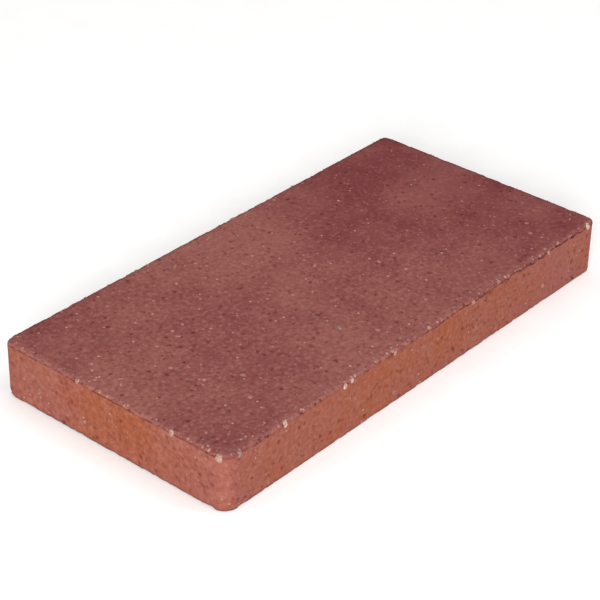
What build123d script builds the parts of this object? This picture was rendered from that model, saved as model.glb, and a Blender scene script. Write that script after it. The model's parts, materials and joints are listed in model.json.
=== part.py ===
"""A dry-cast concrete step stone, 400 x 198 x 43 mm.

Two courses are pressed together in one mould: the thick base course, and a thin pigmented
face course with a rounded arris. Crushed stones show where the faces and the seam between
the courses cut through them. Each course and each stone is its own solid. They fit with no
gap and no overlap, because every pocket is cut by the stone that lies in it.

Frame: millimetres, origin at the centre of the bed face, +X along the length,
+Y across the width, +Z up through the wearing face.
"""

import os
import random

from build123d import *

# The whole stone, as it leaves the mould.
slab_length = 400.0
slab_width = 198.0
slab_height = 43.0
plan_corner_radius = 6.0
rubbed_corner_radius = 10.5
bed_edge_radius = 1.0

# The wearing course, and the V joint where the two courses meet at the sides.
face_height = 3.0
arris_radius = 2.2
joint_bevel = 0.4
seam_level = slab_height - face_height

# The crushed stones: length, width and height as shares of a stone's size, the bevel of
# their edges, and how deep their centre lies below the surface, also as shares of the size.
chip_shape = (1.0, 0.85, 0.75)
chip_bevel = 0.2
chip_depth = 0.2
chip_seam_wander = 0.6
dice = random.Random(16)

half_length = slab_length / 2
half_width = slab_width / 2

# Stones in the long edges, as (place along X, size). The front edge is the -Y one.
front_edge_chips = (
    (-187, 3.6),
    (-145, 4.6),
    (-87, 3.6),
    (-80, 3.4),
    (-36, 3.2),
    (50, 3.4),
    (140, 3.6),
    (190, 4.6),
)
back_edge_chips = ((-172, 4.2), (-104, 3.4), (-38, 3.2), (21, 4.4), (88, 3.4), (155, 3.8))

# Stones in the short edges, as (place along Y, size). The left edge is the -X one.
left_edge_chips = ((-92, 4.6), (-53, 4.0), (30, 3.6))
right_edge_chips = ((-58, 3.6), (11, 4.4), (70, 3.4))

# Stones in the wearing face, as (X, Y, size).
top_chips = (
    (-185, 5, 2.8),
    (-150, -5, 2.6),
    (-145, -30, 3.0),
    (-125, -45, 3.2),
    (-140, -65, 3.0),
    (-40, -55, 3.2),
    (-25, -75, 3.0),
    (10, 10, 3.0),
    (45, -20, 2.8),
    (50, -40, 3.0),
    (150, -75, 3.0),
    (160, -65, 2.8),
)

# Stones in the flat sides, as (place along the side, height above the bed, size).
front_side_chips = ((-35, 8, 3.2), (136, 14, 3.4))
left_side_chips = ((24, 12, 3.0),)


def corner_radius_near(x, y):
    """The plan radius of the corner on that side of the middle."""
    return rubbed_corner_radius if x < 0 and y < 0 else plan_corner_radius


def inset_at(place, half_extent, corner_radius):
    """How far a rounded plan corner draws the side in, at a place along that side."""
    run = max(0.0, abs(place) - (half_extent - corner_radius))
    return corner_radius - (corner_radius**2 - run**2) ** 0.5


# The plan of the stone and of both courses. The corner at the front left is rubbed rounder.
with BuildSketch(Plane.XY) as plan:
    Rectangle(slab_length, slab_width)
    right_corners = plan.vertices().group_by(Axis.X)[-1]
    back_left_corner = plan.vertices().group_by(Axis.X)[0].sort_by(Axis.Y)[-1]
    fillet([*right_corners, back_left_corner], plan_corner_radius)
    front_left_corner = plan.vertices().group_by(Axis.X)[0].sort_by(Axis.Y)[0]
    fillet(front_left_corner, rubbed_corner_radius)

with BuildPart() as whole_stone:
    with BuildSketch(Plane.XY):
        add(plan.sketch)
    extrude(amount=slab_height)
    fillet(whole_stone.faces().sort_by(Axis.Z)[-1].edges(), arris_radius)
    fillet(whole_stone.faces().sort_by(Axis.Z)[0].edges(), bed_edge_radius)


def crushed_stone(name, centre, size):
    """A block with its edges struck off, turned at random and cut flush with the surface."""
    turn = [dice.uniform(0.0, 360.0) for _ in range(3)]
    with BuildPart() as chip:
        with Locations(Location(centre, turn)):
            Box(*(share * size for share in chip_shape))
        chamfer(chip.edges(), chip_bevel * size)
        add(whole_stone.part, mode=Mode.INTERSECT)
    chip.part.label = name
    return chip.part


chips = []


def seam_height():
    """The stones in the edges lie near the seam, a little above or below it."""
    return seam_level + dice.uniform(-chip_seam_wander, chip_seam_wander)


for edge, side, row in (("front", -1, front_edge_chips), ("back", 1, back_edge_chips)):
    for number, (x, size) in enumerate(row, start=1):
        inset = inset_at(x, half_length, corner_radius_near(x, side))
        y = side * (half_width - inset - chip_depth * size)
        chips.append(crushed_stone(f"{edge}_edge_chip_{number}", (x, y, seam_height()), size))

for edge, side, row in (("left", -1, left_edge_chips), ("right", 1, right_edge_chips)):
    for number, (y, size) in enumerate(row, start=1):
        inset = inset_at(y, half_width, corner_radius_near(side, y))
        x = side * (half_length - inset - chip_depth * size)
        chips.append(crushed_stone(f"{edge}_edge_chip_{number}", (x, y, seam_height()), size))

for number, (x, y, size) in enumerate(top_chips, start=1):
    centre = (x, y, slab_height - chip_depth * size)
    chips.append(crushed_stone(f"top_chip_{number}", centre, size))

for number, (x, z, size) in enumerate(front_side_chips, start=1):
    centre = (x, chip_depth * size - half_width, z)
    chips.append(crushed_stone(f"front_side_chip_{number}", centre, size))

for number, (y, z, size) in enumerate(left_side_chips, start=1):
    centre = (chip_depth * size - half_length, y, z)
    chips.append(crushed_stone(f"left_side_chip_{number}", centre, size))

# The base course stands on its bed face and ends at the seam.
with BuildPart() as base_course:
    with BuildSketch(Plane.XY):
        add(plan.sketch)
    extrude(amount=seam_level)
    fillet(base_course.faces().sort_by(Axis.Z)[0].edges(), bed_edge_radius)
    chamfer(base_course.faces().sort_by(Axis.Z)[-1].edges(), joint_bevel)
    add(chips, mode=Mode.SUBTRACT)
base_course.part.label = "base_course"

# The face course lies on it, from the seam to the wearing face.
with BuildPart() as face_course:
    with BuildSketch(Plane.XY.offset(seam_level)):
        add(plan.sketch)
    extrude(amount=face_height)
    fillet(face_course.faces().sort_by(Axis.Z)[-1].edges(), arris_radius)
    chamfer(face_course.faces().sort_by(Axis.Z)[0].edges(), joint_bevel)
    add(chips, mode=Mode.SUBTRACT)
face_course.part.label = "face_course"

os.makedirs("parts", exist_ok=True)
for piece in (base_course.part, face_course.part, *chips):
    export_step(piece, f"parts/{piece.label}.step")
    print(f"{piece.label}: {len(piece.solids())} solid, {piece.volume:.1f} mm3")
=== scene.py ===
# %% [markdown]
# # A red concrete step stone
#
# The real object is a garden paver: a slab of dry-cast concrete, pressed in a steel mould
# and pushed out while it is still green. Nothing on it moves. What makes it look real is
# its skin: sand grains that stand proud, pits between them, a softly rounded top edge with
# a thin broken seam under it, and a few pale stones where the edge cuts through them.
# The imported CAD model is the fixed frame. It gives every size and place used below.

import json
import math
import random

import bmesh
import bpy
from mathutils import Matrix, Vector, kdtree, noise


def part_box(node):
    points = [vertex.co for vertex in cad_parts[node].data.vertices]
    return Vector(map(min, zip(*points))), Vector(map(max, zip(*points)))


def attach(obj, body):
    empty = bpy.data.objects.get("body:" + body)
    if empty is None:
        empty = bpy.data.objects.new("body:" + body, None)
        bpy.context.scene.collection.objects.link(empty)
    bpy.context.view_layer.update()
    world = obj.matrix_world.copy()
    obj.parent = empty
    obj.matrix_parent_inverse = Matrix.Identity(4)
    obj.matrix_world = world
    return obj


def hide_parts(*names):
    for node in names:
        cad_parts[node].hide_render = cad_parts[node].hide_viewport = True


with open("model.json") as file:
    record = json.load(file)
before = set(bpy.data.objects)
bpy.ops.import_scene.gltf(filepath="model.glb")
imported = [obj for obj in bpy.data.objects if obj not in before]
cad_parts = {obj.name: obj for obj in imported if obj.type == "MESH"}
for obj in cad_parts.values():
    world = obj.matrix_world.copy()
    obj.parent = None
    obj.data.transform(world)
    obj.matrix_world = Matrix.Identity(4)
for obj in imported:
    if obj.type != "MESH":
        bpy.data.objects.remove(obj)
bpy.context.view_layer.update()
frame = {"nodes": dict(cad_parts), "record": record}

# %% [markdown]
# ## Sizes from the frame
#
# The two courses of concrete are the CAD nodes `base_course` and `face_course`. Their boxes
# give the slab's length, width and height and the level of the seam between them. The
# radii can't be read from a box, so they are written out here, as the CAD model has them.

# %% Sizes
MM = 0.001
_, base_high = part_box("base_course")
_, face_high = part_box("face_course")
half_length = face_high.x
half_width = face_high.y
slab_top = face_high.z
seam_level = base_high.z
plan_corner_radius = 6 * MM
rubbed_corner_radius = 10.5 * MM
arris_radius = 2.2 * MM
bed_edge_radius = 1.0 * MM
chip_nodes = sorted(name for name in frame["nodes"] if "chip" in name)
print("slab", 2 * half_length, 2 * half_width, slab_top, "with", len(chip_nodes), "stones")

# %% [markdown]
# ## Floor, light and camera
#
# The camera comes first, because every later choice is judged through it. It stands in
# front of the near corner and looks down by about 32 degrees through a long lens, so the
# slab's edges converge only a little. It is rolled by about one degree.


# %% Camera
def direction(azimuth, elevation):
    """The way out from the slab: azimuth 0 is in front of it, and -90 degrees at its left."""
    level = math.cos(elevation)
    return Vector((math.sin(azimuth) * level, -math.cos(azimuth) * level, math.sin(elevation)))


azimuth = math.radians(-49.94)
elevation = math.radians(31.73)
roll = math.radians(1.24)
camera_distance = 1.393
aim_right = -10.3 * MM
aim_up = 19.6 * MM
lens = 118.9

backwards = direction(azimuth, elevation)
level_right = Vector((math.cos(azimuth), math.sin(azimuth), 0))
level_up = backwards.cross(level_right)
camera_right = math.cos(roll) * level_right + math.sin(roll) * level_up
camera_up = math.cos(roll) * level_up - math.sin(roll) * level_right

camera_data = bpy.data.cameras.new("camera")
camera_data.sensor_width = 36
camera_data.lens = lens
camera_data.clip_end = 100
camera = bpy.data.objects.new("camera", camera_data)
bpy.context.scene.collection.objects.link(camera)
camera_place = backwards * camera_distance + camera_right * aim_right + camera_up * aim_up
camera.matrix_world = (
    Matrix.Translation(camera_place)
    @ Matrix((camera_right, camera_up, backwards)).transposed().to_4x4()
)
bpy.context.scene.camera = camera
print("camera at", tuple(round(c, 3) for c in camera_place))

# %% [markdown]
# The floor and the surrounding light are almost white, as in a small studio. The sky
# gives soft light from everywhere. One large lamp stands low in front of the near corner,
# so the sides are lit a little more than the top and the grains cast tiny shadows. A weaker
# one high up in front softens them.

# %% Floor
floor_half = 6.0
bm = bmesh.new()
bmesh.ops.create_grid(bm, x_segments=1, y_segments=1, size=floor_half)
floor_mesh = bpy.data.meshes.new("floor")
bm.to_mesh(floor_mesh)
bm.free()
floor = bpy.data.objects.new("floor", floor_mesh)
bpy.context.scene.collection.objects.link(floor)
print("floor", 2 * floor_half, "m wide")

# %% Light
bpy.context.scene.view_settings.view_transform = "Standard"
sky_strength = 0.72
world = bpy.data.worlds.new("studio")
world.use_nodes = True
sky = world.node_tree.nodes["Background"]
sky.inputs["Color"].default_value = (1.0, 1.0, 1.0, 1.0)
sky.inputs["Strength"].default_value = sky_strength
bpy.context.scene.world = world


def soft_lamp(name, azimuth_deg, elevation_deg, distance, size, power):
    """A square soft box that faces the slab from that direction."""
    way = direction(math.radians(azimuth_deg), math.radians(elevation_deg))
    data = bpy.data.lights.new(name, "AREA")
    data.shape = "SQUARE"
    data.size = size
    data.energy = power
    lamp = bpy.data.objects.new(name, data)
    bpy.context.scene.collection.objects.link(lamp)
    facing = way.to_track_quat("Z", "Y").to_matrix().to_4x4()
    lamp.matrix_world = Matrix.Translation(way * distance) @ facing
    print(name, "lamp at", tuple(round(c, 2) for c in way * distance))


soft_lamp("key", azimuth_deg=-55, elevation_deg=24, distance=3.4, size=1.3, power=104)
soft_lamp("fill", azimuth_deg=20, elevation_deg=60, distance=3.0, size=1.6, power=14)

# %% [markdown]
# ## The plan of the slab
#
# Both courses share one plan: a rectangle with round corners, of which the one at the front
# left is rubbed rounder. A plain grid has square corners, so its corner patches are squeezed
# into quarter discs. The same plan also says which way the sides face at any point, which is
# needed to draw the rim down the sides.


# %% Plan helpers
def corner_radius(x, y):
    """The radius of the plan's corner in that quarter of the slab."""
    return rubbed_corner_radius if x < 0 and y < 0 else plan_corner_radius


def core_corner(x, y):
    """The centre of that corner's arc, as positive numbers."""
    radius = corner_radius(x, y)
    return half_length - radius, half_width - radius


def rounded(x, y):
    """Squeezes the square corner of a grid into a quarter disc about the corner's centre."""
    core_x, core_y = core_corner(x, y)
    over_x = abs(x) - core_x
    over_y = abs(y) - core_y
    if over_x <= 0 or over_y <= 0:
        return x, y
    squeeze = max(over_x, over_y) / math.hypot(over_x, over_y)
    round_x = core_x + over_x * squeeze
    round_y = core_y + over_y * squeeze
    return math.copysign(round_x, x), math.copysign(round_y, y)


def from_core(point):
    """The level step to a point from the nearest point of the plan's inner rectangle."""
    core_x, core_y = core_corner(point.x, point.y)
    inner_x = max(-core_x, min(core_x, point.x))
    inner_y = max(-core_y, min(core_y, point.y))
    return Vector((point.x - inner_x, point.y - inner_y, 0))


def outward(point):
    """The way the side faces at a point near the rim: straight out, or fanned at a corner."""
    return from_core(point).normalized()


def rim_inset(point):
    """How far a point lies in from the nearest side, but at most the corner's radius."""
    return corner_radius(point.x, point.y) - from_core(point).length


def smooth_step(low, high, value):
    """0 at low and past it, 1 at high and past it, and smooth between them."""
    share = max(0.0, min(1.0, (value - low) / (high - low)))
    return share * share * (3 - 2 * share)


# %% [markdown]
# ## The seam
#
# Under the rounded top edge runs a thin dark line, where the face course meets the core: a
# narrow groove with painted shade in it, darker where it is more open. It isn't straight: it
# wanders a little up and down, opens and closes, and small crumbs of its lip have broken off.
# Both courses need to know the same things about it, so each is a function of the place
# alone, made from Blender's noise.


# %% Seam, crumbs and unevenness
def noise_at(point, size, seed):
    """Smooth noise from about -1 to 1, with features of that size. The seed picks the pattern."""
    return noise.noise(point / size + Vector((seed * 7.3, seed * 3.1, seed * 5.7)))


def far_front(point):
    """1 at the right part of the front edge, where the seam is worst, and 0 elsewhere."""
    return max(0.0, -outward(point).y) * smooth_step(-20 * MM, 120 * MM, point.x)


def seam_rise(point):
    """How far the seam lies above or below its level. It wanders most along the long sides."""
    flat = Vector((point.x, point.y, 0))
    sway = 0.45 + 0.75 * abs(outward(point).y)
    ragged = 0.8 + 0.8 * far_front(point)
    return sway * (0.9 * noise_at(flat, 24 * MM, 1) + ragged * noise_at(flat, 5 * MM, 2)) * MM


def seam_open(point):
    """How open the seam is, from 0 where it is filled to 1 where it gapes, which also sets its
    painted shade.
    """
    flat = Vector((point.x, point.y, 0))
    along_front = max(0.0, -outward(point).y)
    bias = along_front * (0.9 * smooth_step(-60 * MM, 90 * MM, point.x) - 0.55)
    gaps = noise_at(flat, 9 * MM, 3) + 0.5 * noise_at(flat, 3 * MM, 4)
    return smooth_step(-0.35, 0.35, gaps + bias)


def crumbled(point):
    """How much of the edge has crumbled away at that place, from 0 to 1."""
    flat = Vector((point.x, point.y, 0))
    return smooth_step(0.05, 0.50, noise_at(flat, 6 * MM, 5) + 0.45 * noise_at(flat, 2.4 * MM, 6))


def edge_care(point):
    """How roughly an edge was handled: the front most, then the left. The others are crisp."""
    way = outward(point)
    return 0.35 + 0.65 * max(0.0, -way.y) + 0.40 * max(0.0, -way.x)


# %% [markdown]
# ## A course of concrete
#
# Each course starts as a grid for its flat face. The rim of the grid is extruded step by
# step round the edge and along the sides, to a list of (inset, height) steps, and the last
# rim is closed with one hidden face. This keeps the mesh even, about one vertex to a
# millimetre, so that grains and pits can be pushed into it afterwards.


# %% Course shell
def course_shell(flat_level, first_inset, steps, spacing):
    """A closed shell. Its flat face lies at flat_level, and its rim follows the steps."""
    grid_half_x = half_length - first_inset
    grid_half_y = half_width - first_inset
    bm = bmesh.new()
    bmesh.ops.create_grid(
        bm,
        x_segments=round(2 * grid_half_x / spacing),
        y_segments=round(2 * grid_half_y / spacing),
        size=1,
    )
    bmesh.ops.scale(bm, vec=(grid_half_x, grid_half_y, 1), verts=bm.verts)
    for v in bm.verts:
        v.co.x, v.co.y = rounded(v.co.x, v.co.y)
        v.co.z = flat_level
    rim = [e for e in bm.edges if e.is_boundary]
    inset_now = first_inset
    for inset, height in steps:
        made = bmesh.ops.extrude_edge_only(bm, edges=rim)["geom"]
        for v in (g for g in made if isinstance(g, bmesh.types.BMVert)):
            v.co += outward(v.co) * (inset_now - inset)
            v.co.z = height
        rim = [g for g in made if isinstance(g, bmesh.types.BMEdge) and g.is_boundary]
        inset_now = inset
    bmesh.ops.holes_fill(bm, edges=rim, sides=0)
    bmesh.ops.recalc_face_normals(bm, faces=bm.faces)
    bm.normal_update()
    return bm


def arc_steps(radius, count, level, up):
    """Steps round a quarter circle, from the flat face out to the side. up is 1 or -1."""
    steps = []
    for i in range(1, count + 1):
        angle = math.pi / 2 * i / count
        inset = radius * (1 - math.sin(angle))
        steps.append((inset, level + up * radius * (1 - math.cos(angle))))
    return steps


# %% The two shells
hidden_inset = 1.6 * MM
joint_bevel = 0.4 * MM
face_spacing = 1.02 * MM
base_spacing = 1.25 * MM

face_steps = arc_steps(arris_radius, count=5, level=slab_top, up=-1)
face_steps.append((0, seam_level + joint_bevel))
face_steps.append((joint_bevel, seam_level))
face_steps.append((hidden_inset, seam_level))
face_bm = course_shell(slab_top, arris_radius, face_steps, face_spacing)

side_bottom = bed_edge_radius
side_top = seam_level - joint_bevel
side_rows = round((side_top - side_bottom) / base_spacing)
base_steps = arc_steps(bed_edge_radius, count=2, level=0, up=1)
for i in range(1, side_rows + 1):
    base_steps.append((0, side_bottom + (side_top - side_bottom) * i / side_rows))
base_steps.append((joint_bevel, seam_level))
base_steps.append((hidden_inset, seam_level))
base_bm = course_shell(0, bed_edge_radius, base_steps, base_spacing)
print("face course", len(face_bm.faces), "faces, base course", len(base_bm.faces), "faces")

# %% [markdown]
# ## Weathering the skin
#
# Every vertex of the skin is pushed into the slab, and never out of it, so the looks stay
# inside the CAD model's box. Three things add up: a slow unevenness, the relief of
# the sand grains, and pits where a grain has dropped out or air was trapped. What the
# colours need to know later is kept on the vertices. One number says how much painted shade
# a place gets: 0.3 in a shallow pit, 1 in the open seam and at most 1.5 in the deepest voids,
# up to 1.3 on the back and right top edges and 1.1 round the bottom edge. Another is 1 on an
# edge where the red skin is rubbed off, and on the front and left top edges it also stands
# for painted light.


# %% Pits
def scatter_pits(count, low, high, smallest, largest, seed):
    """Random pits as (centre, radius, depth). Small ones are far more common than large."""
    dice = random.Random(seed)
    pits = []
    for _ in range(count):
        centre = Vector([dice.uniform(a, b) for a, b in zip(low, high)])
        radius = smallest + (largest - smallest) * dice.random() ** 3
        pits.append((centre, radius, radius * dice.uniform(0.15, 0.7)))
    return pits


def press_pits(bm, pits, depths, painted_shade):
    """Adds each pit's round bowl to the depths, and painted shade in its bowl, more for a deeper
    pit.
    """
    tree = kdtree.KDTree(len(bm.verts))
    for v in bm.verts:
        tree.insert(v.co, v.index)
    tree.balance()
    for centre, radius, depth in pits:
        for _, index, distance in tree.find_range(centre, radius):
            bowl = 1 - (distance / radius) ** 2
            depths[index] += depth * bowl
            # A deeper pit gets darker painted shade.
            shade = min(1.0, 1.5 * bowl) * min(1.5, 2 * depth / radius)
            painted_shade[index] = max(painted_shade[index], shade)


# %% [markdown]
# The seam has pits of its own. The same ones are pressed into both courses, so a broken lip
# runs across the seam. The front has most, the short sides fewest.

# %% Seam pits
seam_pits = []
for side, count in ((-1, 150), (1, 80)):
    row_low = (-half_length, side * half_width, seam_level - 0.7 * MM)
    row_high = (half_length, side * half_width, seam_level + 0.9 * MM)
    seam_pits += scatter_pits(count, row_low, row_high, 0.8 * MM, 1.7 * MM, seed=50 + side)
for side in (-1, 1):
    row_low = (side * half_length, -half_width, seam_level - 0.4 * MM)
    row_high = (side * half_length, half_width, seam_level + 0.5 * MM)
    seam_pits += scatter_pits(30, row_low, row_high, 0.7 * MM, 1.3 * MM, seed=53 + side)
print(len(seam_pits), "seam pits")

# %% [markdown]
# Both courses are weathered by the same steps. What differs is handed over as small
# functions of the place: how deep the skin lies, how worn it is and where it gets painted
# light, how much painted shade it gets, and how far it follows the seam's wandering. At the
# seam itself the lip is drawn in and up or down, as wide as the seam is open there.


# %% Weathering
def weathered(bm, name, depth_at, wear_and_light_at, painted_shade_at, pits, rise_at, seam_way):
    """Pushes the course's skin in, opens its lip at the seam, and makes it a piece.

    It also returns the skin as a list of (place before it was pushed in, normal, depth).
    """
    bm.verts.ensure_lookup_table()
    bm.verts.index_update()
    painted_shade_layer = bm.verts.layers.float.new("painted_shade")
    wear_and_light_layer = bm.verts.layers.float.new("wear_and_light")
    depths = [depth_at(v.co) for v in bm.verts]
    painted_shade = [painted_shade_at(v.co) for v in bm.verts]
    press_pits(bm, pits, depths, painted_shade)
    skin = []
    for v in bm.verts:
        rest = v.co.copy()
        at_seam = abs(rest.z - seam_level) < 0.1 * MM
        hidden = at_seam and rim_inset(rest) > 0.9 * hidden_inset
        v[wear_and_light_layer] = wear_and_light_at(rest)
        v[painted_shade_layer] = painted_shade[v.index]
        if hidden:
            # The hidden ring behind the seam gets full painted shade.
            v[painted_shade_layer] = 1.0
            v.co.z += seam_rise(rest)
        elif at_seam:
            # A shut seam fills the joint's bevel, and an open one is drawn in behind it.
            gape = seam_open(rest)
            drawn_in = 0.6 * gape - 0.3
            lip = 0.03 + (0.30 + 0.25 * far_front(rest)) * gape
            v.co -= outward(rest) * drawn_in * MM
            v.co.z += seam_rise(rest) + seam_way * lip * MM
            # The open seam gets painted shade as deep as it gapes.
            v[painted_shade_layer] = max(painted_shade[v.index], gape)
        else:
            skin.append((rest, v.normal.copy(), depths[v.index]))
            v.co -= v.normal * depths[v.index]
            v.co.z += seam_rise(rest) * rise_at(rest)
    return as_piece(bm, name), skin


def as_piece(bm, name):
    """Turns a bmesh into a smooth-shaded object that rides on the slab's one body."""
    mesh = bpy.data.meshes.new(name)
    for face in bm.faces:
        face.smooth = True
    bm.to_mesh(mesh)
    bm.free()
    piece = bpy.data.objects.new(name, mesh)
    bpy.context.scene.collection.objects.link(piece)
    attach(piece, "root")
    return piece


def relief(point, grain, seed):
    """The sand's relief from 0 to 1: rounded grains of about that size, with finer ones."""
    coarse = noise_at(point, grain, seed)
    fine = noise_at(point, grain * 0.45, seed + 1)
    return 0.5 + 0.32 * coarse + 0.18 * fine


# %% [markdown]
# The face is open and sandy at the near end and denser towards the far right. Its near edges
# are crumbled and rubbed pale, and that pale band also stands for painted light where they
# face the lamp. The depths below are in millimetres, and never negative.


# %% Face course skin
# The face gets denser over this stretch, along X and less so along Y.
calm_span = 190 * MM
calm_slant = 0.8


def face_calm(point):
    """1 where the face is open and grainy, down to 0.4 at the far right, where it is denser."""
    return 1 - 0.6 * smooth_step(0, calm_span, point.x + calm_slant * point.y)


def face_depth(point):
    """How deep the face's skin lies: slow unevenness, sand relief and crumbled edges."""
    slow = 0.5 + 0.5 * noise_at(point, 55 * MM, 11)
    on_edge = smooth_step(4.2 * MM, 1.0 * MM, rim_inset(point))
    crumb = crumbled(point) * on_edge * edge_care(point)
    sand = relief(point, 2.8 * MM, 12) * face_calm(point)
    return (0.34 + 0.18 * slow + 0.36 * sand + 0.85 * crumb) * MM


def patchy(point, seed):
    """Uneven rubbing, from 0 to 1."""
    rub = 0.5 + 0.8 * noise_at(point, 6 * MM, seed) + 0.9 * noise_at(point, 2.2 * MM, seed + 1)
    return max(0.0, min(1.0, rub))


def face_wear_and_lit_edge(point):
    """The front and left edges are rubbed pale, with painted light as they face the lamp, and the
    others keep their dark skin.
    """
    way = outward(point)
    near_side = smooth_step(-0.2, 0.6, -way.x - way.y)
    return smooth_step(9 * MM, 0.5 * MM, rim_inset(point)) * near_side * patchy(point, 15)


def face_far_edge_shade(point):
    """Painted shade on the back and right top edges, which face away from the lamp."""
    way = outward(point)
    far_side = smooth_step(0.0, 0.6, way.x + way.y)
    return 1.3 * far_side * smooth_step(3.6 * MM, 2.0 * MM, rim_inset(point))


def face_rise(point):
    """The seam's wandering carries the arris with it, less and less towards the top."""
    return smooth_step(slab_top - 0.8 * MM, seam_level, point.z)


top_low = (-half_length, -half_width, slab_top)
top_high = (half_length, half_width, slab_top)
face_pits = scatter_pits(1100, top_low, top_high, 0.9 * MM, 1.9 * MM, seed=21)
# The two near arrises are the most crumbled, so they have small pits of their own.
arris_low = (-half_length, -half_width, seam_level + 0.9 * MM)
front_arris = (half_length, -half_width + 2 * MM, slab_top)
left_arris = (-half_length + 2 * MM, half_width, slab_top)
face_pits += scatter_pits(200, arris_low, front_arris, 0.7 * MM, 1.4 * MM, seed=23)
face_pits += scatter_pits(80, arris_low, left_arris, 0.7 * MM, 1.3 * MM, seed=24)
# The larger voids, where they catch the eye most, as (X, Y, radius) in millimetres.
large_voids = (
    (98, -78, 1.8),
    (-37, -33, 2.0),
    (-162, 3, 1.7),
    (-127, 8, 2.1),
    (-109, 14, 1.8),
    (62, 41, 1.6),
)
large_void_depth = 1.2 * MM
for x, y, radius in large_voids:
    face_pits.append((Vector((x * MM, y * MM, slab_top)), radius * MM, large_void_depth))
face_piece, face_skin = weathered(
    face_bm,
    "face_course_skin",
    depth_at=face_depth,
    wear_and_light_at=face_wear_and_lit_edge,
    painted_shade_at=face_far_edge_shade,
    pits=face_pits + seam_pits,
    rise_at=face_rise,
    seam_way=1,
)
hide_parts("face_course")
print("face course skin", len(face_piece.data.polygons), "faces,", len(face_pits), "pits")

# %% [markdown]
# The core was rubbed against the mould's walls as it was pushed out, so its sides are
# smoother, and their relief is drawn out upwards. The bed is as rough as the floor it lay on.


# %% Base course skin
# The bottom edge crumbles by the same noise as the top one, read at another place.
bed_crumb_shift = Vector((0.3, 0, 0))


def seam_nearness(point):
    """1 at the seam and 0 from 2.5 mm below it."""
    return smooth_step(seam_level - 2.5 * MM, seam_level, point.z)


def base_depth(point):
    """How deep the core's skin lies: smoother than the face, with crumbled edges."""
    low_down = smooth_step(3.0 * MM, 0.0, point.z)
    near_bed = low_down * smooth_step(3.0 * MM, 0.5 * MM, rim_inset(point))
    bed_crumb = crumbled(point + bed_crumb_shift) * near_bed
    seam_crumb = crumbled(point) * seam_nearness(point) * edge_care(point)
    slow = 0.5 + 0.5 * noise_at(point, 45 * MM, 31)
    rubbed = noise_at(Vector((point.x, point.y, point.z * 0.2)), 3.0 * MM, 33)
    smooth = 0.22 + 0.16 * slow + 0.28 * relief(point, 3.0 * MM, 34) + 0.05 * (1 + rubbed)
    return (smooth + 0.35 * seam_crumb + 0.35 * bed_crumb) * MM


def base_wear(point):
    """The core is rubbed a little along the seam."""
    return 0.6 * seam_nearness(point) * patchy(point, 17)


def base_bottom_shade(point):
    """Painted shade on the bed and on the bottom edge round it, where the slab meets the floor.
    """
    return 1.1 * smooth_step(2.0 * MM, 0.5 * MM, point.z)


def base_rise(point):
    """The seam's wandering carries the upper 9 mm of the sides with it."""
    return smooth_step(seam_level - 9 * MM, seam_level, point.z)


side_pits = []
for side in (-1, 1):
    long_low = (-half_length, side * half_width, 2 * MM)
    long_high = (half_length, side * half_width, seam_level)
    side_pits += scatter_pits(230, long_low, long_high, 1.0 * MM, 1.9 * MM, seed=41 + side)
    short_low = (side * half_length, -half_width, 2 * MM)
    short_high = (side * half_length, half_width, seam_level)
    side_pits += scatter_pits(115, short_low, short_high, 1.0 * MM, 1.9 * MM, seed=44 + side)
bed_low = (-half_length, -half_width, 0)
bed_high = (half_length, half_width, 0)
side_pits += scatter_pits(900, bed_low, bed_high, 1.2 * MM, 3.2 * MM, seed=47)
# A crumb is missing from the bottom edge, beside the rubbed corner.
missing_crumb = Vector((-half_length, -86 * MM, 0))
side_pits.append((missing_crumb, 2.6 * MM, 0.35 * MM))
# The foot of the back left corner is broken off round.
broken_foot = Vector((-half_length + 1.8 * MM, half_width - 1.8 * MM, 0))
side_pits.append((broken_foot, 5.0 * MM, 1.5 * MM))
base_piece, base_skin = weathered(
    base_bm,
    "base_course_skin",
    depth_at=base_depth,
    wear_and_light_at=base_wear,
    painted_shade_at=base_bottom_shade,
    pits=side_pits + seam_pits,
    rise_at=base_rise,
    seam_way=-1,
)
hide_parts("base_course")
print("base course skin", len(base_piece.data.polygons), "faces,", len(side_pits), "pits")

# %% [markdown]
# ## The pale stones
#
# The stones that the faces cut through are crushed quartz and flint: faceted, with rounded
# corners where they were worn. Each starts as a ball that is squared off, has random flats
# pressed onto it, is stretched to its CAD node's box, and is kept under the slab's surface.


# %% Crushed stones
def kept_inside(point):
    """Draws a point in, if it stands out of the sides or the rounded top edge."""
    height_in_arris = max(0.0, point.z - (slab_top - arris_radius))
    arris_reach = math.sqrt(max(0.0, arris_radius**2 - height_in_arris**2))
    limit = corner_radius(point.x, point.y) - (arris_radius - arris_reach)
    away = from_core(point)
    if away.length > limit:
        return point - away.normalized() * (away.length - limit)
    return point


stone_flats = 9


def crushed_stone(name, low, high, dice):
    """A faceted stone that fills the box from low to high."""
    centre = (low + high) / 2
    half = (high - low) / 2
    bm = bmesh.new()
    # The ball is larger than a cube of side 2, so the cube cuts a flat on each of its sides.
    bmesh.ops.create_icosphere(bm, subdivisions=4, radius=1.3)
    for v in bm.verts:
        v.co = Vector([max(-1.0, min(1.0, c)) for c in v.co])
    for _ in range(stone_flats):
        flat_way = Vector([dice.gauss(0, 1) for _ in range(3)]).normalized()
        reach = dice.uniform(0.85, 1.15)
        for v in bm.verts:
            over = v.co.dot(flat_way) - reach
            if over > 0:
                v.co -= flat_way * over
    seed = dice.uniform(0, 50)
    for v in bm.verts:
        rough = 0.05 * noise.noise(v.co * 2.5 + Vector((seed, 0, 0)))
        v.co *= 1 - abs(rough)
        v.co = kept_inside(centre + Vector([a * b for a, b in zip(v.co, half)]))
    bmesh.ops.recalc_face_normals(bm, faces=bm.faces)
    return as_piece(bm, name)


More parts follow.
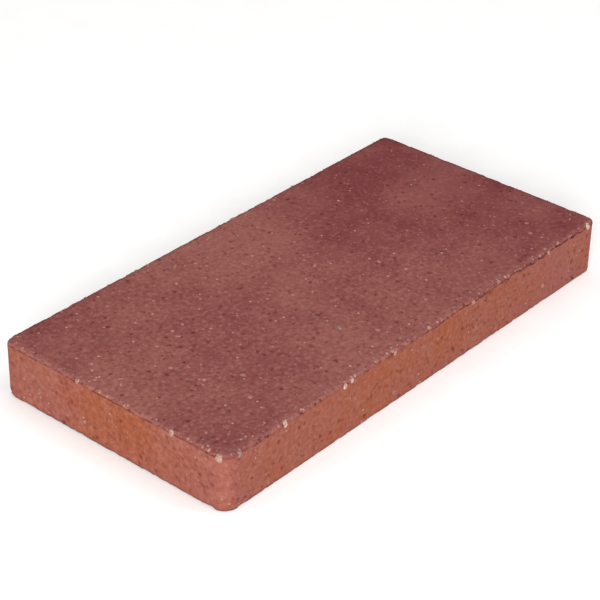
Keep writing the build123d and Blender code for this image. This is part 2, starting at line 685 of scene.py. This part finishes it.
slot_of = {part["node"]: part["material_slot"] for part in frame["record"]["subparts"]}
stone_dice = random.Random(61)
stones = {}
for node in chip_nodes:
    low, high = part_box(node)
    stone = crushed_stone(node + "_stone", low, high, stone_dice)
    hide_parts(node)
    stones[stone] = slot_of[node]
print(len(stones), "stones")

# %% [markdown]
# ## Sand grains
#
# Between the stones, single grains of coarse sand have shed their red skin. They are real
# geometry too: each is a tiny twenty-sided crumb, squashed and turned at random, and set
# into the skin so that a quarter of its height shows at most. A grain never stands out
# further than the skin around it was pushed in, so the slab's box still holds it. The larger
# a grain, the paler it is, and where the slab is dense most of them are small and dark.


# %% Sand grains
grain_margin = 0.02 * MM
seam_margin = 1.5 * MM
bed_edge_margin = 2.2 * MM
near_arris_width = 4.5 * MM


def sand_grains(name, skin, count, smallest, largest, seed):
    """Grains sunk into random places of a course's skin. Each grain has its own tone."""
    dice = random.Random(seed)
    bm = bmesh.new()
    tone_layer = bm.verts.layers.float.new("tone")
    for place, way, depth in dice.sample(skin, count):
        tone = dice.random() ** (1 / face_calm(place))
        radius = smallest + (largest - smallest) * tone
        angle = dice.uniform(0, math.tau)
        turn = Matrix.Rotation(angle, 3, [dice.gauss(0, 1) for _ in range(3)])
        squash = Matrix.Diagonal([dice.uniform(0.7, 0.95) for _ in range(3)])
        reach = radius * (squash @ turn.transposed() @ way).length
        proud = min(0.5 * reach, depth - grain_margin)
        centre = place - way * (depth - proud + reach)
        where = Matrix.Translation(centre) @ (turn @ squash).to_4x4()
        made = bmesh.ops.create_icosphere(bm, subdivisions=1, radius=radius, matrix=where)
        for v in made["verts"]:
            v[tone_layer] = tone
    return as_piece(bm, name)


def clear_of_seam(spot):
    """A grain there wouldn't bridge the open seam."""
    return abs(spot[0].z - seam_level) > seam_margin


def clear_of_bed_edge(spot):
    """A grain there wouldn't stand out past the small radius of the bottom edge."""
    return max(spot[0].z, rim_inset(spot[0])) > bed_edge_margin


def on_near_arris(spot):
    """The place is on or beside the front or the left top edge."""
    way = outward(spot[0])
    return rim_inset(spot[0]) < near_arris_width and -way.x - way.y > 0.3


top_skin = [spot for spot in face_skin if clear_of_seam(spot)]
top_grains = sand_grains("face_course_sand", top_skin, 1600, 1.0 * MM, 2.2 * MM, seed=71)
# The near arrises are rubbed down to their sand, so extra grains show there.
rubbed_skin = [spot for spot in top_skin if on_near_arris(spot)]
edge_grains = sand_grains("face_edge_sand", rubbed_skin, 420, 0.9 * MM, 1.8 * MM, seed=73)
side_skin = [spot for spot in base_skin if clear_of_seam(spot) and clear_of_bed_edge(spot)]
side_grains = sand_grains("base_course_sand", side_skin, 1300, 0.8 * MM, 1.7 * MM, seed=72)
for grains in (top_grains, edge_grains, side_grains):
    print(grains.name, len(grains.data.polygons), "faces")

# %% [markdown]
# ## Materials
#
# Colours are written as sRGB hex values and turned to linear light by one function. One
# more function adds a node with its settings and its inputs, so a material reads as a
# list of steps. All patterns are in millimetres on object coordinates.


# %% Material helpers
def linear(hex_code):
    """An sRGB colour such as #99553f as linear red, green, blue and alpha."""
    channels = [int(hex_code[i : i + 2], 16) / 255 for i in (1, 3, 5)]
    light = [c / 12.92 if c <= 0.04045 else ((c + 0.055) / 1.055) ** 2.4 for c in channels]
    return [*light, 1.0]


def put(tree, kind, inputs=None, out=None, stops=None, **settings):
    """Adds a node. inputs maps a socket's name or number to a value or another node's output."""
    made = tree.nodes.new("ShaderNode" + kind)
    for name, value in settings.items():
        setattr(made, name, value)
    usable = dict(enumerate(made.inputs))
    for socket in reversed(made.inputs):
        if socket.enabled:
            usable[socket.name] = socket
    for name, value in (inputs or {}).items():
        if isinstance(value, bpy.types.NodeSocket):
            tree.links.new(value, usable[name])
        else:
            usable[name].default_value = value
    for i, (place, colour) in enumerate(stops or ()):
        spots = made.color_ramp.elements
        spot = spots[i] if i < len(spots) else spots.new(place)
        spot.position = place
        spot.color = colour
    shown = [socket for socket in made.outputs if socket.enabled]
    return made.outputs[out] if out else shown[0]


def new_material(name):
    """A named material, its node tree, its Principled shader and its place in millimetres."""
    material = bpy.data.materials.new(name)
    material.use_nodes = True
    tree = material.node_tree
    place = put(tree, "TexCoord", out="Object")
    in_mm = put(tree, "VectorMath", {"Vector": place, "Scale": 1000}, operation="SCALE")
    return material, tree, tree.nodes["Principled BSDF"], in_mm


def grey(value):
    """A grey of that linear value, for ramps that drive numbers."""
    return (value, value, value, 1.0)


# %% [markdown]
# ### Pigmented concrete
#
# The concrete is cement coloured through with red iron oxide and filled with sand. To the
# eye it is a matt, brick-coloured ground with slow clouds where the pigment is richer, fine
# salt and pepper from the sand, painted shade in its pits, open seam and shaded edges, and a
# paler, dusty edge that also carries painted light where it faces the lamp. Both courses share
# the recipe. The face is more purple and the core more orange.
#
# The clouds are about 75 mm across and the blotches in them 16 mm. The salt and pepper is
# the size of the coarse sand, about 3 mm. Fine sand of 0.1 to 0.5 mm would be too fine to
# show, so the bump draws it at 0.9 mm.


# %% Pigmented concrete
cloud_mm = 75
blotch_mm = 16
fine_sand_mm = 0.9

# How much leaner the pigment is along the slab, from its left end at 0 to its right at 1.
thinning = ((0.0, 0.18), (0.25, 0.22), (0.42, 0.34), (0.60, 0.13), (0.85, 0.0))


def pigmented_concrete(name, rich, lean, patch, pale_grain, dark_grain, shade_colour, dust_and_light, grain_mm):
    """Dry-cast concrete: clouds of pigment, sand of that size, painted shade, a dusty edge with
    painted light.
    """
    material, tree, shader, in_mm = new_material(name)

    def mixed(share, below, hex_code):
        """The colour below, with that share of another colour over it."""
        layers = {"Factor": share, "A": below, "B": linear(hex_code)}
        return put(tree, "Mix", layers, data_type="RGBA")

    # The ground runs from rich to lean pigment, and has lighter blotches.
    look = {"Vector": in_mm, "Scale": 1 / cloud_mm, "Detail": 3.0, "Roughness": 0.55}
    clouds = put(tree, "TexNoise", look)
    along = put(tree, "SeparateXYZ", {"Vector": in_mm}, out="X")
    ends = {"Value": along, "From Min": -half_length / MM, "From Max": half_length / MM}
    share = put(tree, "MapRange", ends)
    stops = [(spot, grey(amount)) for spot, amount in thinning]
    thin = put(tree, "ValToRGB", {"Fac": share}, stops=stops)
    leanness = put(tree, "Math", {0: clouds, 1: thin}, operation="ADD")
    stops = ((0.44, linear(rich)), (0.84, linear(lean)))
    ground = put(tree, "ValToRGB", {"Fac": leanness}, stops=stops)
    look = {"Vector": in_mm, "Scale": 1 / blotch_mm, "Detail": 4.0, "Roughness": 0.6}
    blotches = put(tree, "TexNoise", look)
    stops = ((0.48, grey(0)), (0.75, grey(0.5)))
    blotch_share = put(tree, "ValToRGB", {"Fac": blotches}, stops=stops)
    ground = mixed(blotch_share, ground, patch)

    # Sand shows as salt and pepper, and fades where the slab is denser.
    look = {"Vector": in_mm, "Scale": 1 / grain_mm, "Detail": 2.0, "Roughness": 0.6}
    sand = put(tree, "TexNoise", look)
    pale_share = put(tree, "ValToRGB", {"Fac": sand}, stops=((0.52, grey(0)), (0.72, grey(0.46))))
    dark_share = put(tree, "ValToRGB", {"Fac": sand}, stops=((0.28, grey(0.50)), (0.48, grey(0))))
    calm_way = (1.0, calm_slant, 0.0)
    askew = put(tree, "VectorMath", {0: in_mm, 1: calm_way}, out="Value", operation="DOT_PRODUCT")
    fade = {"Value": askew, "From Max": calm_span / MM, "To Min": 1.0, "To Max": 0.45}
    openness = put(tree, "MapRange", fade)
    pale_share = put(tree, "Math", {0: pale_share, 1: openness}, operation="MULTIPLY")
    dark_share = put(tree, "Math", {0: dark_share, 1: openness}, operation="MULTIPLY")
    ground = mixed(pale_share, ground, pale_grain)
    ground = mixed(dark_share, ground, dark_grain)

    # Rubbed edges are dusty, and the lit ones also carry painted light. Pits, the open seam and
    # shaded edges get painted shade.
    wear_and_light = put(tree, "Attribute", out="Fac", attribute_name="wear_and_light")
    dust_and_light_share = put(tree, "Math", {0: wear_and_light, 1: 0.5}, operation="MULTIPLY")
    ground = mixed(dust_and_light_share, ground, dust_and_light)
    painted_shade = put(tree, "Attribute", out="Fac", attribute_name="painted_shade")
    shade_share = put(tree, "Math", {0: painted_shade, 1: 0.65}, operation="MULTIPLY")
    ground = mixed(shade_share, ground, shade_colour)

    look = {"Vector": in_mm, "Scale": 1 / fine_sand_mm, "Detail": 4.0, "Roughness": 0.65}
    fine_sand = put(tree, "TexNoise", look)
    bump = put(tree, "Bump", {"Height": fine_sand, "Strength": 0.35, "Distance": 0.2 * MM})
    tree.links.new(ground, shader.inputs["Base Color"])
    tree.links.new(bump, shader.inputs["Normal"])
    shader.inputs["Roughness"].default_value = 0.93
    shader.inputs["IOR"].default_value = 1.5
    shader.inputs["Specular IOR Level"].default_value = 0.3
    return material


face_concrete = pigmented_concrete(
    "pigmented_face_concrete",
    rich="#69262b",
    lean="#894f47",
    patch="#804a42",
    pale_grain="#9d6b65",
    dark_grain="#5a2828",
    shade_colour="#561f1d",
    dust_and_light="#955f52",
    grain_mm=3.2,
)
core_concrete = pigmented_concrete(
    "pigmented_core_concrete",
    rich="#884d46",
    lean="#8a472b",
    patch="#92594a",
    pale_grain="#9c6a5a",
    dark_grain="#662d22",
    shade_colour="#5a2117",
    dust_and_light="#97635a",
    grain_mm=3.4,
)
face_piece.data.materials.append(face_concrete)
base_piece.data.materials.append(core_concrete)
print("concrete", face_concrete.name, "and", core_concrete.name)

# %% [markdown]
# ### Quartz, pink grit and flint
#
# The stones are crushed, so they are hard, slightly glossy minerals with cloudy insides.
# The clouds are about 1.4 mm across, a third of a stone. A film of red cement still clings
# to part of each stone in patches of about 2 mm, and it softens the colour.


# %% Crushed stone
mineral_cloud_mm = 1.4
film_patch_mm = 2.2


def crushed_mineral(name, light, deep, film, film_share, roughness):
    """A cloudy mineral under patches of cement film."""
    material, tree, shader, in_mm = new_material(name)
    look = {"Vector": in_mm, "Scale": 1 / mineral_cloud_mm, "Detail": 5.0, "Roughness": 0.6}
    clouds = put(tree, "TexNoise", look)
    stops = ((0.35, linear(deep)), (0.65, linear(light)))
    body = put(tree, "ValToRGB", {"Fac": clouds}, stops=stops)
    look = {"Vector": in_mm, "Scale": 1 / film_patch_mm, "Detail": 3.0, "Roughness": 0.6}
    patches = put(tree, "TexNoise", look)
    stops = ((0.46, grey(film_share)), (0.60, grey(film_share * 0.3)))
    covered = put(tree, "ValToRGB", {"Fac": patches}, stops=stops)
    layers = {"Factor": covered, "A": body, "B": linear(film)}
    body = put(tree, "Mix", layers, data_type="RGBA")
    bump = put(tree, "Bump", {"Height": clouds, "Strength": 0.4, "Distance": 0.15 * MM})
    tree.links.new(body, shader.inputs["Base Color"])
    tree.links.new(bump, shader.inputs["Normal"])
    shader.inputs["Roughness"].default_value = roughness
    shader.inputs["IOR"].default_value = 1.54
    return material


veiled_quartz = crushed_mineral(
    "crushed_veiled_quartz",
    light="#bda894",
    deep="#99786a",
    film="#8a544a",
    film_share=0.8,
    roughness=0.6,
)
pink_grit = crushed_mineral(
    "crushed_pink_grit",
    light="#b07d70",
    deep="#905e57",
    film="#824c46",
    film_share=0.7,
    roughness=0.75,
)
grey_flint = crushed_mineral(
    "crushed_flint",
    light="#8f8a86",
    deep="#6d6562",
    film="#824c46",
    film_share=0.6,
    roughness=0.5,
)
stained_quartz = crushed_mineral(
    "crushed_stained_quartz",
    light="#a98372",
    deep="#94655a",
    film="#8a544a",
    film_share=0.9,
    roughness=0.8,
)
clean_quartz = crushed_mineral(
    "crushed_clean_quartz",
    light="#d6d0c6",
    deep="#ab9c8c",
    film="#9c6556",
    film_share=0.8,
    roughness=0.5,
)

# %% Stones and their minerals
# Four stones of the front edge broke clean, and the mould smeared those in the flat sides.
look_of_slot = {"pale_quartz": veiled_quartz, "pink_grit": pink_grit, "grey_flint": grey_flint}
clean_stones = [f"front_edge_chip_{number}_stone" for number in (2, 3, 4, 8)]
for stone, slot in stones.items():
    look = look_of_slot[slot]
    if stone.name in clean_stones:
        look = clean_quartz
    elif "side_chip" in stone.name:
        look = stained_quartz
    stone.data.materials.append(look)
print(len(stones), "stones have their mineral")

# %% [markdown]
# ### Washed sand
#
# A sand grain that has lost its skin shows its own colour. Most are stained as red as the
# concrete, some are pink feldspar, and a few are clear or buff quartz. The tone that was
# dealt to each grain picks its place in that range. Cement still stains each one in spots,
# about 0.8 mm across.

# %% Washed sand
stain_mm = 0.8
tints = (
    (0.0, "#763f3b"),
    (0.50, "#82504a"),
    (0.82, "#8c5b53"),
    (0.92, "#a37267"),
    (1.0, "#ab887b"),
)
washed_sand, tree, shader, in_mm = new_material("washed_quartz_sand")
tone = put(tree, "Attribute", out="Fac", attribute_name="tone")
stops = [(spot, linear(tint)) for spot, tint in tints]
grain_colour = put(tree, "ValToRGB", {"Fac": tone}, stops=stops)
stain = put(tree, "TexNoise", {"Vector": in_mm, "Scale": 1 / stain_mm, "Detail": 3.0})
stops = ((0.40, grey(0.45)), (0.60, grey(0.0)))
stain_share = put(tree, "ValToRGB", {"Fac": stain}, stops=stops)
layers = {"Factor": stain_share, "A": grain_colour, "B": linear("#793f3b")}
stained = put(tree, "Mix", layers, data_type="RGBA")
tree.links.new(stained, shader.inputs["Base Color"])
shader.inputs["Roughness"].default_value = 0.85
shader.inputs["IOR"].default_value = 1.54
shader.inputs["Specular IOR Level"].default_value = 0.3
for grains in (top_grains, edge_grains, side_grains):
    grains.data.materials.append(washed_sand)
    print(grains.name, washed_sand.name)

# %% [markdown]
# ### The floor
#
# The floor is matt white paper, with the faint cloudiness of its fibres, about 30 mm across,
# so that it stays quiet behind the slab.

# %% Floor paper
fibre_cloud_mm = 30
floor_paper, tree, shader, in_mm = new_material("matt_white_paper")
fibres = put(tree, "TexNoise", {"Vector": in_mm, "Scale": 1 / fibre_cloud_mm, "Detail": 3.0})
stops = ((0.3, linear("#f8f7f6")), (0.7, linear("#fafaf9")))
sheet = put(tree, "ValToRGB", {"Fac": fibres}, stops=stops)
tree.links.new(sheet, shader.inputs["Base Color"])
shader.inputs["Roughness"].default_value = 0.95
shader.inputs["Specular IOR Level"].default_value = 0.1
floor.data.materials.append(floor_paper)
print("floor", floor_paper.name)
